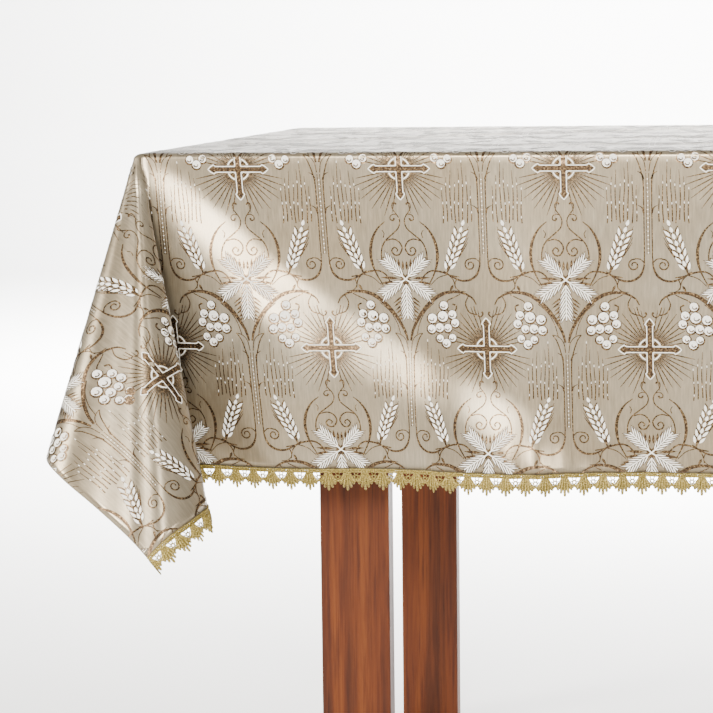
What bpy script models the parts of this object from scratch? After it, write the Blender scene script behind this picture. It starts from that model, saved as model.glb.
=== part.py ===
"""An altar frontal of figured satin with a gold lace edge, draped over the plain wooden altar table that
carries it. Units are metres, +Z is up and the front of the altar faces -Y. The origin is on the floor,
under the middle of the table."""

import bisect
import math

import bmesh
import bpy
from mathutils import Vector

# The altar table: a board on four flat legs, which rails join under the board.
TOP_WIDTH = 1.400
TOP_DEPTH = 0.990
TOP_THICKNESS = 0.030
TOP_ROUNDING = 0.005
TABLE_HEIGHT = 0.948
LEG_WIDTH = 0.088
LEG_DEPTH = 0.038
LEG_INSET_X = 0.188
LEG_INSET_Y = 0.125
LEG_CHAMFER = 0.002
RAIL_HEIGHT = 0.090
RAIL_THICKNESS = 0.022
SEAT_GAP = 0.0003

# The cloth: one rectangular length that hangs over all four edges of the table.
CLOTH_THICKNESS = 0.0012
EDGE_CLEARANCE = 0.002
BEND_RADIUS = 0.006
FRONT_DROP = 0.376
BACK_DROP = 0.376
SIDE_DROP = 0.326

# The lace: a narrow edging of shells sewn to the front hem only.
LACE_PITCH = 0.0230
LACE_GAP = 0.0006
LACE_HEADING = 0.0045
LACE_EYE_DEPTH = 0.0130
LACE_VALLEY = 0.0170
LACE_SHOULDER = 0.0225
LACE_OUTER_SHOULDER = 0.0233
LACE_TIP = 0.0262
LACE_THICKNESS = 0.0010

# Places across the lace, as shares of a pitch from the middle of a shell: the shoulder of its point, the
# outer shoulder, the top corner of the eye, the widest place of the shell and the middle of the eye.
SHOULDER_AT = 0.11
OUTER_SHOULDER_AT = 0.20
EYE_CORNER_AT = 0.27
SHELL_SIDE_AT = 0.36
EYE_MIDDLE_AT = 0.5

# Where the mid-surface of the cloth starts to bend over the edges of the table.
HALF_X = TOP_WIDTH / 2 + EDGE_CLEARANCE + CLOTH_THICKNESS / 2 - BEND_RADIUS
HALF_Y = TOP_DEPTH / 2 + EDGE_CLEARANCE + CLOTH_THICKNESS / 2 - BEND_RADIUS
CLOTH_Z = TABLE_HEIGHT + SEAT_GAP + CLOTH_THICKNESS / 2
BEND_LENGTH = BEND_RADIUS * math.pi / 2
SIDE_LENGTH = SIDE_DROP - BEND_RADIUS + BEND_LENGTH
FRONT_LENGTH = FRONT_DROP - BEND_RADIUS + BEND_LENGTH
BACK_LENGTH = BACK_DROP - BEND_RADIUS + BEND_LENGTH

# The spare cloth at a corner stands out as a cone from the corner of the table. A row is one line from
# the corner to the hem. angle is where the line lies on the flat cloth, from straight down the front
# (0) to straight out at the side (90). start_out and start_on place its top in millimetres from the
# bend, out to the side and on to the front. swing_out and swing_on are its lean away from plumb.
CORNER_FOLD = (
    # angle, start_out, start_on, swing_out, swing_on
    (0.0, 0.0, 6.0, -0.060, 0.000),
    (4.0, 0.8, 6.3, 0.004, 0.022),
    (8.5, 1.7, 6.8, 0.046, 0.080),
    (13.0, 2.3, 7.4, 0.026, 0.150),
    (18.0, 2.8, 8.1, -0.046, 0.192),
    (23.5, 3.3, 8.8, -0.142, 0.212),
    (29.0, 4.0, 9.4, -0.233, 0.238),
    (33.0, 4.8, 9.7, -0.218, 0.306),
    (38.0, 6.0, 9.8, -0.148, 0.360),
    (43.0, 7.2, 9.6, -0.062, 0.352),
    (48.0, 8.4, 9.1, 0.040, 0.372),
    (53.0, 9.4, 8.2, 0.146, 0.368),
    (58.0, 10.2, 7.2, 0.220, 0.320),
    (64.0, 10.5, 5.8, 0.233, 0.218),
    (71.0, 10.0, 4.2, 0.232, 0.108),
    (78.0, 8.9, 2.6, 0.190, 0.004),
    (84.5, 7.5, 1.2, 0.108, -0.060),
    (90.0, 6.0, 0.0, 0.028, -0.100),
)

# Under the corner of the table the cloth bunches, which takes up a little of its length.
CORNER_SLACK = 0.014
SLACK_SHARPNESS = 8
SLACK_REACH = 0.06

# Each corner wears the same fold, swung a little more or less.
CORNER_SWING = {(-1, -1): 1.0, (1, -1): 0.975, (-1, 1): 0.965, (1, 1): 0.985}

# Soft vertical waves of the hanging sides, which die away WAVE_CALM before a corner. place is measured
# along the side from its middle, width is half the wave, swell is how far it stands out at the hem and
# start is where down the drop it begins.
WAVE_CALM = 0.10
FRONT_WAVES = (
    # place, width, swell, start
    (-0.560, 0.110, 0.010, 0.05),
    (-0.405, 0.090, -0.006, 0.10),
    (-0.250, 0.120, 0.013, 0.00),
    (-0.060, 0.100, -0.005, 0.15),
    (0.110, 0.120, 0.011, 0.05),
    (0.320, 0.110, -0.006, 0.10),
    (0.520, 0.130, 0.012, 0.00),
)
BACK_WAVES = (
    (-0.480, 0.140, 0.011, 0.05),
    (-0.160, 0.120, 0.009, 0.10),
    (0.200, 0.150, 0.012, 0.00),
    (0.500, 0.110, 0.008, 0.10),
)
SIDE_WAVES = (
    (-0.330, 0.095, 0.018, 0.00),
    (-0.170, 0.085, -0.006, 0.10),
    (0.010, 0.120, 0.011, 0.05),
    (0.180, 0.085, -0.005, 0.10),
    (0.330, 0.095, 0.017, 0.00),
)

# A corner's cone pulls the grain of the sides next to it. The pull is whole up to LEAN_HOLD from the
# corner and gone LEAN_REACH further on.
LEAN_HOLD = 0.08
LEAN_REACH = 0.50

# How finely the solid of the cloth is divided.
BEND_STEPS = 2
HANG_STEPS = 6
HANG_SPREAD = 1.8
LONG_COLUMNS = 44
SIDE_COLUMNS = 22
CORNER_LINES = 17


def material(name, colour, roughness, metallic=0.0):
    """A Principled BSDF of one colour."""
    made = bpy.data.materials.new(name)
    made.use_nodes = True
    shader = made.node_tree.nodes["Principled BSDF"]
    shader.inputs["Base Color"].default_value = (*colour, 1.0)
    shader.inputs["Roughness"].default_value = roughness
    shader.inputs["Metallic"].default_value = metallic
    return made


def add_object(name, mesh, finish):
    obj = bpy.data.objects.new(name, mesh)
    obj.data.materials.append(finish)
    bpy.context.scene.collection.objects.link(obj)
    return obj


def board(name, size, centre, finish, rounding=0.0):
    """A sawn piece of wood, with its long edges eased where rounding is given."""
    mesh = bpy.data.meshes.new(name)
    shape = bmesh.new()
    bmesh.ops.create_cube(shape, size=1.0)
    bmesh.ops.scale(shape, vec=Vector(size), verts=shape.verts)
    shape.to_mesh(mesh)
    shape.free()
    obj = add_object(name, mesh, finish)
    obj.location = centre
    if rounding:
        ease = obj.modifiers.new("eased edges", "BEVEL")
        ease.width = rounding
        ease.segments = 2
        ease.limit_method = "ANGLE"
    return obj


def smooth(t):
    """0 at 0 and 1 at 1, level at both ends."""
    t = min(1.0, max(0.0, t))
    return t * t * (3 - 2 * t)


def between_rows(rows, angle):
    """The other columns of a table at one angle, on a smooth curve through its rows."""
    angles = [row[0] for row in rows]
    i = min(len(rows) - 2, max(0, bisect.bisect_right(angles, angle) - 1))
    step = angles[i + 1] - angles[i]
    t = (angle - angles[i]) / step
    found = []
    for column in range(1, len(rows[0])):

        def slope(k):
            before, after = max(0, k - 1), min(len(rows) - 1, k + 1)
            return (rows[after][column] - rows[before][column]) / (angles[after] - angles[before])

        low, high = rows[i][column], rows[i + 1][column]
        found.append(
            (1 + 2 * t) * (1 - t) ** 2 * low
            + t * (1 - t) ** 2 * step * slope(i)
            + t * t * (3 - 2 * t) * high
            + t * t * (t - 1) * step * slope(i + 1)
        )
    return found


def wave_at(waves, place, fall, half):
    """How far a hanging side stands out from plumb, at a place along it and a share of its drop."""
    calm = smooth((half - abs(place)) / WAVE_CALM)
    out = 0.0
    for centre, width, swell, start in waves:
        near = max(0.0, 1 - ((place - centre) / width) ** 2)
        out += swell * near * near * smooth((fall - start) / (1 - start))
    return out * calm


def panel_point(along, length, sides, waves, half, drop, leans):
    """A point of a straight side, as (along, out, height). leans are the sideways leans that its two
    corners give it, and fade along it."""
    turn = min(length, BEND_LENGTH) / BEND_RADIUS
    hang = max(0.0, length - BEND_LENGTH)
    out = wave_at(waves, along, hang / drop, half)
    shift = 0.0
    for end, (lean_along, lean_out) in zip((-1, 1), leans):
        fade = 1 - smooth((half - end * along - LEAN_HOLD) / LEAN_REACH)
        shift += -end * lean_along * fade * hang
        out += lean_out * fade * hang
    fallen = math.sqrt(max(0.0, hang * hang - out * out - shift * shift))
    return (
        along + shift,
        sides + BEND_RADIUS * math.sin(turn) + out,
        CLOTH_Z - BEND_RADIUS * (1 - math.cos(turn)) - fallen,
    )


def corner_leans(row, along, out, corners):
    """The sideways and outward leans that one row of the corner cones gives to the end of a side."""
    return [(-row[along] * CORNER_SWING[corner], row[out] * CORNER_SWING[corner]) for corner in corners]


def drape(u, v):
    """Where a point of the flat cloth lies. u and v are measured from the middle of the table top,
    along X and Y, on the cloth itself."""
    side, face = (1 if u > 0 else -1), (1 if v > 0 else -1)
    beyond_x, beyond_y = abs(u) - HALF_X, abs(v) - HALF_Y
    if beyond_x <= 0 and beyond_y <= 0:
        return Vector((u, v, CLOTH_Z))
    if beyond_x <= 0:
        waves, drop = (FRONT_WAVES, FRONT_DROP) if face < 0 else (BACK_WAVES, BACK_DROP)
        leans = corner_leans(CORNER_FOLD[0], 3, 4, ((-1, face), (1, face)))
        x, y, z = panel_point(u, beyond_y, HALF_Y, waves, HALF_X, drop, leans)
        return Vector((x, face * y, z))
    if beyond_y <= 0:
        leans = corner_leans(CORNER_FOLD[-1], 4, 3, ((side, -1), (side, 1)))
        y, x, z = panel_point(v, beyond_x, HALF_X, SIDE_WAVES, HALF_Y, SIDE_DROP, leans)
        return Vector((side * x, y, z))
    from_corner = math.hypot(beyond_x, beyond_y)
    angle = math.degrees(math.atan2(beyond_x, beyond_y))
    start_out, start_on, swing_out, swing_on = between_rows(CORNER_FOLD, angle)
    swing = CORNER_SWING[side, face]
    swing_out, swing_on = swing_out * swing, swing_on * swing
    turn = min(from_corner, BEND_LENGTH) / BEND_RADIUS
    hang = max(0.0, from_corner - BEND_LENGTH)
    hang -= CORNER_SLACK * math.sin(2 * math.radians(angle)) ** SLACK_SHARPNESS * smooth(hang / SLACK_REACH)
    out = HALF_X + math.sin(turn) * start_out / 1000 + hang * swing_out
    on = HALF_Y + math.sin(turn) * start_on / 1000 + hang * swing_on
    fallen = hang * math.sqrt(1 - swing_out**2 - swing_on**2)
    return Vector((side * out, face * on, CLOTH_Z - BEND_RADIUS * (1 - math.cos(turn)) - fallen))


def rings(length):
    """Distances from the start of the bend to the hem at which the cloth has points, closer together
    near the bend."""
    bend = [BEND_LENGTH * k / BEND_STEPS for k in range(1, BEND_STEPS + 1)]
    shares = [(k / HANG_STEPS) ** HANG_SPREAD for k in range(1, HANG_STEPS + 1)]
    return bend + [BEND_LENGTH + (length - BEND_LENGTH) * share for share in shares]


def hem_distance(angle, face_length):
    """From the corner to the hem along a line of the corner cone."""
    lean = math.radians(angle)
    to_front = face_length / math.cos(lean) if angle < 89.999 else math.inf
    to_side = SIDE_LENGTH / math.sin(lean) if angle > 0.001 else math.inf
    return min(to_front, to_side)


def corner_angles(face_length):
    """The lines of a corner cone, from the front or back panel round to the side panel. One of them
    runs to the corner of the cloth."""
    tip = math.degrees(math.atan2(SIDE_LENGTH, face_length))
    near = [tip * k / CORNER_LINES for k in range(1, CORNER_LINES)]
    far = [tip + (90 - tip) * k / CORNER_LINES for k in range(CORNER_LINES)]
    return near + far


def even_columns(half, count):
    return [half * (2 * k / count - 1) for k in range(count + 1)]


def cloth_mesh():
    """The cloth's mid-surface: a flat top, four hanging sides and four corner cones. Each hanging
    line is a list of points from the bend to the hem, and neighbours are joined by quads."""
    shape = bmesh.new()
    columns_x = even_columns(HALF_X, LONG_COLUMNS)
    columns_y = even_columns(HALF_Y, SIDE_COLUMNS)
    lengths = {-1: FRONT_LENGTH, 1: BACK_LENGTH}

    def line(points):
        return [shape.verts.new(drape(u, v)) for u, v in points]

    def face_line(x, face):
        return line([(x, face * (HALF_Y + s)) for s in rings(lengths[face])])

    def side_line(y, side):
        return line([(side * (HALF_X + s), y) for s in rings(SIDE_LENGTH)])

    def cone_line(angle, side, face):
        lean = math.radians(angle)
        reach = rings(hem_distance(angle, lengths[face]))
        return line(
            [(side * (HALF_X + s * math.sin(lean)), face * (HALF_Y + s * math.cos(lean))) for s in reach]
        )

    # Round the table from the front left corner: each entry is a top point and its hanging line.
    loop = []
    for side, face in ((-1, -1), (1, -1), (1, 1), (-1, 1)):
        corner = shape.verts.new(drape(side * HALF_X, face * HALF_Y))
        into_face = side == face
        lines = [cone_line(a, side, face) for a in corner_angles(lengths[face])]
        face_end = face_line(side * HALF_X, face)
        side_end = side_line(face * HALF_Y, side)
        fan = [side_end, *reversed(lines), face_end] if into_face else [face_end, *lines, side_end]
        loop += [(corner, hanging) for hanging in fan]
        if into_face:
            inner = columns_x[1:-1] if face < 0 else columns_x[-2:0:-1]
            loop += [(shape.verts.new(drape(x, face * HALF_Y)), face_line(x, face)) for x in inner]
        else:
            inner = columns_y[1:-1] if side > 0 else columns_y[-2:0:-1]
            loop += [(shape.verts.new(drape(side * HALF_X, y)), side_line(y, side)) for y in inner]

    rim = []
    for top, _ in loop:
        if not rim or rim[-1] is not top:
            rim.append(top)
    shape.faces.new(rim)
    for (top_a, line_a), (top_b, line_b) in zip(loop, loop[1:] + loop[:1]):
        upper_a, upper_b = top_a, top_b
        for low_a, low_b in zip(line_a, line_b):
            ring = (upper_a, low_a, low_b, upper_b)
            shape.faces.new(ring if upper_a is not upper_b else ring[:3])
            upper_a, upper_b = low_a, low_b
    bmesh.ops.triangulate(shape, faces=shape.faces[:])
    mesh = bpy.data.meshes.new("altar_cloth")
    shape.to_mesh(mesh)
    shape.free()
    return mesh


def lace_columns():
    """The places along the front hem that the cloth's own lines reach, in order."""
    tip = math.atan2(SIDE_LENGTH, FRONT_LENGTH)
    wing = [FRONT_LENGTH * math.tan(tip * k / CORNER_LINES) for k in range(1, CORNER_LINES + 1)]
    panel = even_columns(HALF_X, LONG_COLUMNS)
    return [-HALF_X - w for w in reversed(wing)] + panel + [HALF_X + w for w in wing]


def lace_point(columns, u, below):
    """A point of the lace, level with the cloth's own facets, at a distance below the hem."""
    u = min(columns[-1], max(columns[0], u))
    k = min(len(columns) - 2, max(0, bisect.bisect_right(columns, u) - 1))
    share = (u - columns[k]) / (columns[k + 1] - columns[k])
    v = -(HALF_Y + FRONT_LENGTH + below)
    return drape(columns[k], v).lerp(drape(columns[k + 1], v), share)


def lace_mesh():
    """A strip of shells. In each pitch a shell fans out from the heading on either side of an open
    eye, and its edge falls in points from the valley under the eye to the tip of the shell."""
    columns = lace_columns()
    width = columns[-1] - columns[0]
    count = round(width / LACE_PITCH)
    pitch = width / count
    shape = bmesh.new()
    made = {}

    def point(place, below):
        key = (round(place * 1000), round(below * 1e7))
        if key not in made:
            made[key] = shape.verts.new(lace_point(columns, columns[0] + place * pitch, below))
        return made[key]

    top, head, eye, valley = LACE_GAP, LACE_HEADING, LACE_EYE_DEPTH, LACE_VALLEY
    for k in range(count):
        # One half of the pitch from the tip of a shell to the middle of an eye; the other mirrors it.
        for start, sign in ((k, 1), (k + 1, -1)):

            def at(share, below):
                return point(start + sign * share, below)

            tip = at(0, LACE_TIP)
            inner, outer = at(SHOULDER_AT, LACE_SHOULDER), at(OUTER_SHOULDER_AT, LACE_OUTER_SHOULDER)
            corner_top, corner_low = at(EYE_CORNER_AT, top), at(EYE_CORNER_AT, head)
            side_high, side_low = at(SHELL_SIDE_AT, eye), at(SHELL_SIDE_AT, valley)
            middle = [at(EYE_MIDDLE_AT, below) for below in (top, head, eye, valley)]
            patches = (
                (at(0, top), at(0, head), corner_low, corner_top),
                (corner_top, corner_low, middle[1], middle[0]),
                (at(0, head), tip, inner, side_high, corner_low),
                (side_high, inner, outer, side_low),
                (side_high, side_low, middle[3], middle[2]),
            )
            for patch in patches:
                shape.faces.new(patch if sign > 0 else patch[::-1])
    bmesh.ops.triangulate(shape, faces=shape.faces[:])
    mesh = bpy.data.meshes.new("front_lace")
    shape.to_mesh(mesh)
    shape.free()
    return mesh


def thicken(obj, thickness):
    wall = obj.modifiers.new("thickness", "SOLIDIFY")
    wall.thickness = thickness
    wall.offset = 0.0
    wall.use_even_offset = False


def build_table():
    wood = material("oiled wood", (0.30, 0.12, 0.045), 0.45)
    under = TABLE_HEIGHT - TOP_THICKNESS - SEAT_GAP
    outer_x = TOP_WIDTH / 2 - LEG_INSET_X
    leg_y = TOP_DEPTH / 2 - LEG_INSET_Y - LEG_DEPTH / 2
    rail_z = under - SEAT_GAP - RAIL_HEIGHT / 2
    board(
        "table_top",
        (TOP_WIDTH, TOP_DEPTH, TOP_THICKNESS),
        (0, 0, TABLE_HEIGHT - TOP_THICKNESS / 2),
        wood,
        TOP_ROUNDING,
    )
    for end, face in (("front", -1), ("back", 1)):
        for hand, side in (("left", -1), ("right", 1)):
            board(
                f"leg_{end}_{hand}",
                (LEG_WIDTH, LEG_DEPTH, under),
                (side * (outer_x - LEG_WIDTH / 2), face * leg_y, under / 2),
                wood,
                LEG_CHAMFER,
            )
        length = 2 * (outer_x - LEG_WIDTH - SEAT_GAP)
        board(f"rail_{end}", (length, RAIL_THICKNESS, RAIL_HEIGHT), (0, face * leg_y, rail_z), wood)
    rail_x = outer_x - LEG_WIDTH / 2
    length = 2 * (leg_y - LEG_DEPTH / 2 - SEAT_GAP)
    for hand, side in (("left", -1), ("right", 1)):
        board(f"rail_{hand}", (RAIL_THICKNESS, length, RAIL_HEIGHT), (side * rail_x, 0, rail_z), wood)


def build_cloth():
    satin = material("champagne satin", (0.60, 0.55, 0.47), 0.42)
    cloth = add_object("altar_cloth", cloth_mesh(), satin)
    thicken(cloth, CLOTH_THICKNESS)


def build_lace():
    gold = material("gold lace", (0.47, 0.36, 0.12), 0.38, 0.35)
    lace = add_object("front_lace", lace_mesh(), gold)
    thicken(lace, LACE_THICKNESS)


def main():
    for obj in list(bpy.data.objects):
        bpy.data.objects.remove(obj)
    build_table()
    build_cloth()
    build_lace()


main()
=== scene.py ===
import math

import bmesh
import bpy
import numpy as np
from mathutils import Matrix, Vector


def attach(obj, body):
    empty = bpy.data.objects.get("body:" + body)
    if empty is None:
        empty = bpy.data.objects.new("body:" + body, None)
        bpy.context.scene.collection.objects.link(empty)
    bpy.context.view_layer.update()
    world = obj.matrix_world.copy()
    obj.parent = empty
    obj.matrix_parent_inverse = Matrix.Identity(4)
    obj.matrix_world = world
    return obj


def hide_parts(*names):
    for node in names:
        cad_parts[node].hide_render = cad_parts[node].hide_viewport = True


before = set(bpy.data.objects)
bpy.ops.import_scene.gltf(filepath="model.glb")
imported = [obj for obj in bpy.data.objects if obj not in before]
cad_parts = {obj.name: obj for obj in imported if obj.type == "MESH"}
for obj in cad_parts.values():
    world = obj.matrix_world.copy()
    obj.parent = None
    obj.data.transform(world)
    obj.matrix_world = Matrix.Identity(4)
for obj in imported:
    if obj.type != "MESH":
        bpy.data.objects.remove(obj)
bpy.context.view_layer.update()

# ---- The frontal's cloth ----
# One length of figured satin, about 2.05 m by 1.74 m, laid over the altar table so that all four sides
# hang. It is held by nothing but its weight, and its spare width stands out as a fold at each corner.
# The cloth is first cut flat, as (u, v, height above the satin), and then draped point by point.
TABLE_X, TABLE_Y = 0.700, 0.495
BEND_RADIUS = 0.006
STAND_OFF = 0.0026  # from the table's edge to the middle of the hanging cloth
EDGE_X = TABLE_X + STAND_OFF - BEND_RADIUS
EDGE_Y = TABLE_Y + STAND_OFF - BEND_RADIUS
CLOTH_Z = 0.9489  # the middle of the cloth on the table
ARC = BEND_RADIUS * math.pi / 2
FRONT_DROP, SIDE_DROP = 0.376, 0.326
FRONT_LENGTH = FRONT_DROP - BEND_RADIUS + ARC
SIDE_LENGTH = SIDE_DROP - BEND_RADIUS + ARC
U_END, V_END = EDGE_X + SIDE_LENGTH, EDGE_Y + FRONT_LENGTH
SURFACE = 0.0005  # the outer face of the satin above its middle
HEM_TURN = 0.012  # the width of the hem that is turned in behind
CLOTH_WALL = 0.0009

# One line from the table's corner to the hem in each row: its angle on the flat cloth from straight down
# the front, where its top stands out to the side and on to the front in mm, and how it leans.
CORNER_FOLD = np.array([
    (0.0, 0.0, 6.0, -0.060, 0.000), (4.0, 0.8, 6.3, 0.004, 0.022), (8.5, 1.7, 6.8, 0.046, 0.080),
    (13.0, 2.3, 7.4, 0.026, 0.150), (18.0, 2.8, 8.1, -0.046, 0.192), (23.5, 3.3, 8.8, -0.142, 0.212),
    (29.0, 4.0, 9.4, -0.233, 0.238), (33.0, 4.8, 9.7, -0.218, 0.306), (38.0, 6.0, 9.8, -0.148, 0.360),
    (43.0, 7.2, 9.6, -0.062, 0.352), (48.0, 8.4, 9.1, 0.040, 0.372), (53.0, 9.4, 8.2, 0.146, 0.368),
    (58.0, 10.2, 7.2, 0.220, 0.320), (64.0, 10.5, 5.8, 0.233, 0.218), (71.0, 10.0, 4.2, 0.232, 0.108),
    (78.0, 8.9, 2.6, 0.190, 0.004), (84.5, 7.5, 1.2, 0.108, -0.060), (90.0, 6.0, 0.0, 0.028, -0.100),
])
# The cloth that the fold at a corner takes up, how near to the corner's middle and over what length.
CORNER_SLACK, SLACK_SHARPNESS, SLACK_REACH = 0.014, 8, 0.06
# How far the fold at each corner, by side and face, swings out.
CORNER_SWING = {(-1, -1): 1.0, (1, -1): 0.975, (-1, 1): 0.965, (1, 1): 0.985}
LEAN_HOLD, LEAN_REACH = 0.08, 0.50  # the side leans with its corner so far, and over this length less
WAVE_CALM = 0.10  # the waves die out this near to a corner

# Soft upright waves: place along the side, half the width, swell at the hem, and where down the drop it
# starts.
FRONT_WAVES = (
    (-0.560, 0.110, 0.010, 0.05), (-0.405, 0.090, -0.006, 0.10), (-0.250, 0.120, 0.013, 0.00),
    (-0.060, 0.100, -0.005, 0.15), (0.110, 0.120, 0.011, 0.05), (0.320, 0.110, -0.006, 0.10),
    (0.520, 0.130, 0.012, 0.00),
)
BACK_WAVES = (
    (-0.480, 0.140, 0.011, 0.05), (-0.160, 0.120, 0.009, 0.10), (0.200, 0.150, 0.012, 0.00),
    (0.500, 0.110, 0.008, 0.10),
)
SIDE_WAVES = (
    (-0.330, 0.095, 0.018, 0.00), (-0.170, 0.085, -0.006, 0.10), (0.010, 0.120, 0.011, 0.05),
    (0.180, 0.085, -0.005, 0.10), (0.330, 0.095, 0.017, 0.00),
)


def smooth(t):
    t = np.clip(t, 0.0, 1.0)
    return t * t * (3 - 2 * t)


def fold_line(angle):
    """The starts and leans of the corner's lines at these angles, on a smooth curve through the rows."""
    rows, angles = CORNER_FOLD[:, 1:], CORNER_FOLD[:, 0]
    after = np.minimum(np.arange(len(angles)) + 1, len(angles) - 1)
    before = np.maximum(np.arange(len(angles)) - 1, 0)
    slopes = (rows[after] - rows[before]) / (angles[after] - angles[before])[:, None]
    i = np.clip(np.searchsorted(angles, angle, side="right") - 1, 0, len(angles) - 2)
    step = (angles[i + 1] - angles[i])[:, None]
    t = (angle - angles[i])[:, None] / step
    return (
        (1 + 2 * t) * (1 - t) ** 2 * rows[i]
        + t * (1 - t) ** 2 * step * slopes[i]
        + t * t * (3 - 2 * t) * rows[i + 1]
        + t * t * (t - 1) * step * slopes[i + 1]
    )


def hanging_side(along, length, waves, half, drop, lean_along, lean_out, swings):
    """Points of one straight side, as along, out from the bend's start and down."""
    turn = np.minimum(length, ARC) / BEND_RADIUS
    hang = np.maximum(0.0, length - ARC)
    out = np.zeros_like(along)
    for place, width, swell, start in waves:
        near = np.maximum(0.0, 1 - ((along - place) / width) ** 2)
        out += swell * near * near * smooth((hang / drop - start) / (1 - start))
    out *= smooth((half - np.abs(along)) / WAVE_CALM)
    shift = np.zeros_like(along)
    for end, swing in zip((-1, 1), swings):
        fade = 1 - smooth((half - end * along - LEAN_HOLD) / LEAN_REACH)
        shift += end * lean_along * swing * fade * hang
        out += lean_out * swing * fade * hang
    fallen = np.sqrt(np.maximum(0.0, hang**2 - out**2 - shift**2))
    return along + shift, BEND_RADIUS * np.sin(turn) + out, BEND_RADIUS * (1 - np.cos(turn)) + fallen


def drape(u, v):
    """Where points of the flat cloth lie, with u and v measured on it from the middle of the table."""
    points = np.stack([u, v, np.full_like(u, CLOTH_Z)], axis=1)
    past_x, past_y = np.abs(u) - EDGE_X, np.abs(v) - EDGE_Y
    for face, waves in ((-1, FRONT_WAVES), (1, BACK_WAVES)):
        on = (past_x <= 0) & (past_y > 0) & (v * face > 0)
        swings = [CORNER_SWING[side, face] for side in (-1, 1)]
        along, out, down = hanging_side(
            u[on], past_y[on], waves, EDGE_X, FRONT_DROP, *CORNER_FOLD[0, 3:], swings
        )
        points[on] = np.stack([along, face * (EDGE_Y + out), CLOTH_Z - down], axis=1)
    for side in (-1, 1):
        on = (past_y <= 0) & (past_x > 0) & (u * side > 0)
        swings = [CORNER_SWING[side, face] for face in (-1, 1)]
        along, out, down = hanging_side(
            v[on], past_x[on], SIDE_WAVES, EDGE_Y, SIDE_DROP, *CORNER_FOLD[-1, :2:-1], swings
        )
        points[on] = np.stack([side * (EDGE_X + out), along, CLOTH_Z - down], axis=1)
        for face in (-1, 1):
            on = (past_x > 0) & (past_y > 0) & (u * side > 0) & (v * face > 0)
            away = np.hypot(past_x[on], past_y[on])
            angle = np.degrees(np.arctan2(past_x[on], past_y[on]))
            start_out, start_on, swing_out, swing_on = fold_line(angle).T
            swing_out = swing_out * CORNER_SWING[side, face]
            swing_on = swing_on * CORNER_SWING[side, face]
            turn = np.minimum(away, ARC) / BEND_RADIUS
            hang = np.maximum(0.0, away - ARC)
            taken_up = CORNER_SLACK * np.sin(2 * np.radians(angle)) ** SLACK_SHARPNESS
            hang -= taken_up * smooth(hang / SLACK_REACH)
            out = EDGE_X + np.sin(turn) * start_out / 1000 + hang * swing_out
            forward = EDGE_Y + np.sin(turn) * start_on / 1000 + hang * swing_on
            down = BEND_RADIUS * (1 - np.cos(turn)) + hang * np.sqrt(1 - swing_out**2 - swing_on**2)
            points[on] = np.stack([side * out, face * forward, CLOTH_Z - down], axis=1)
    return points


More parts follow.
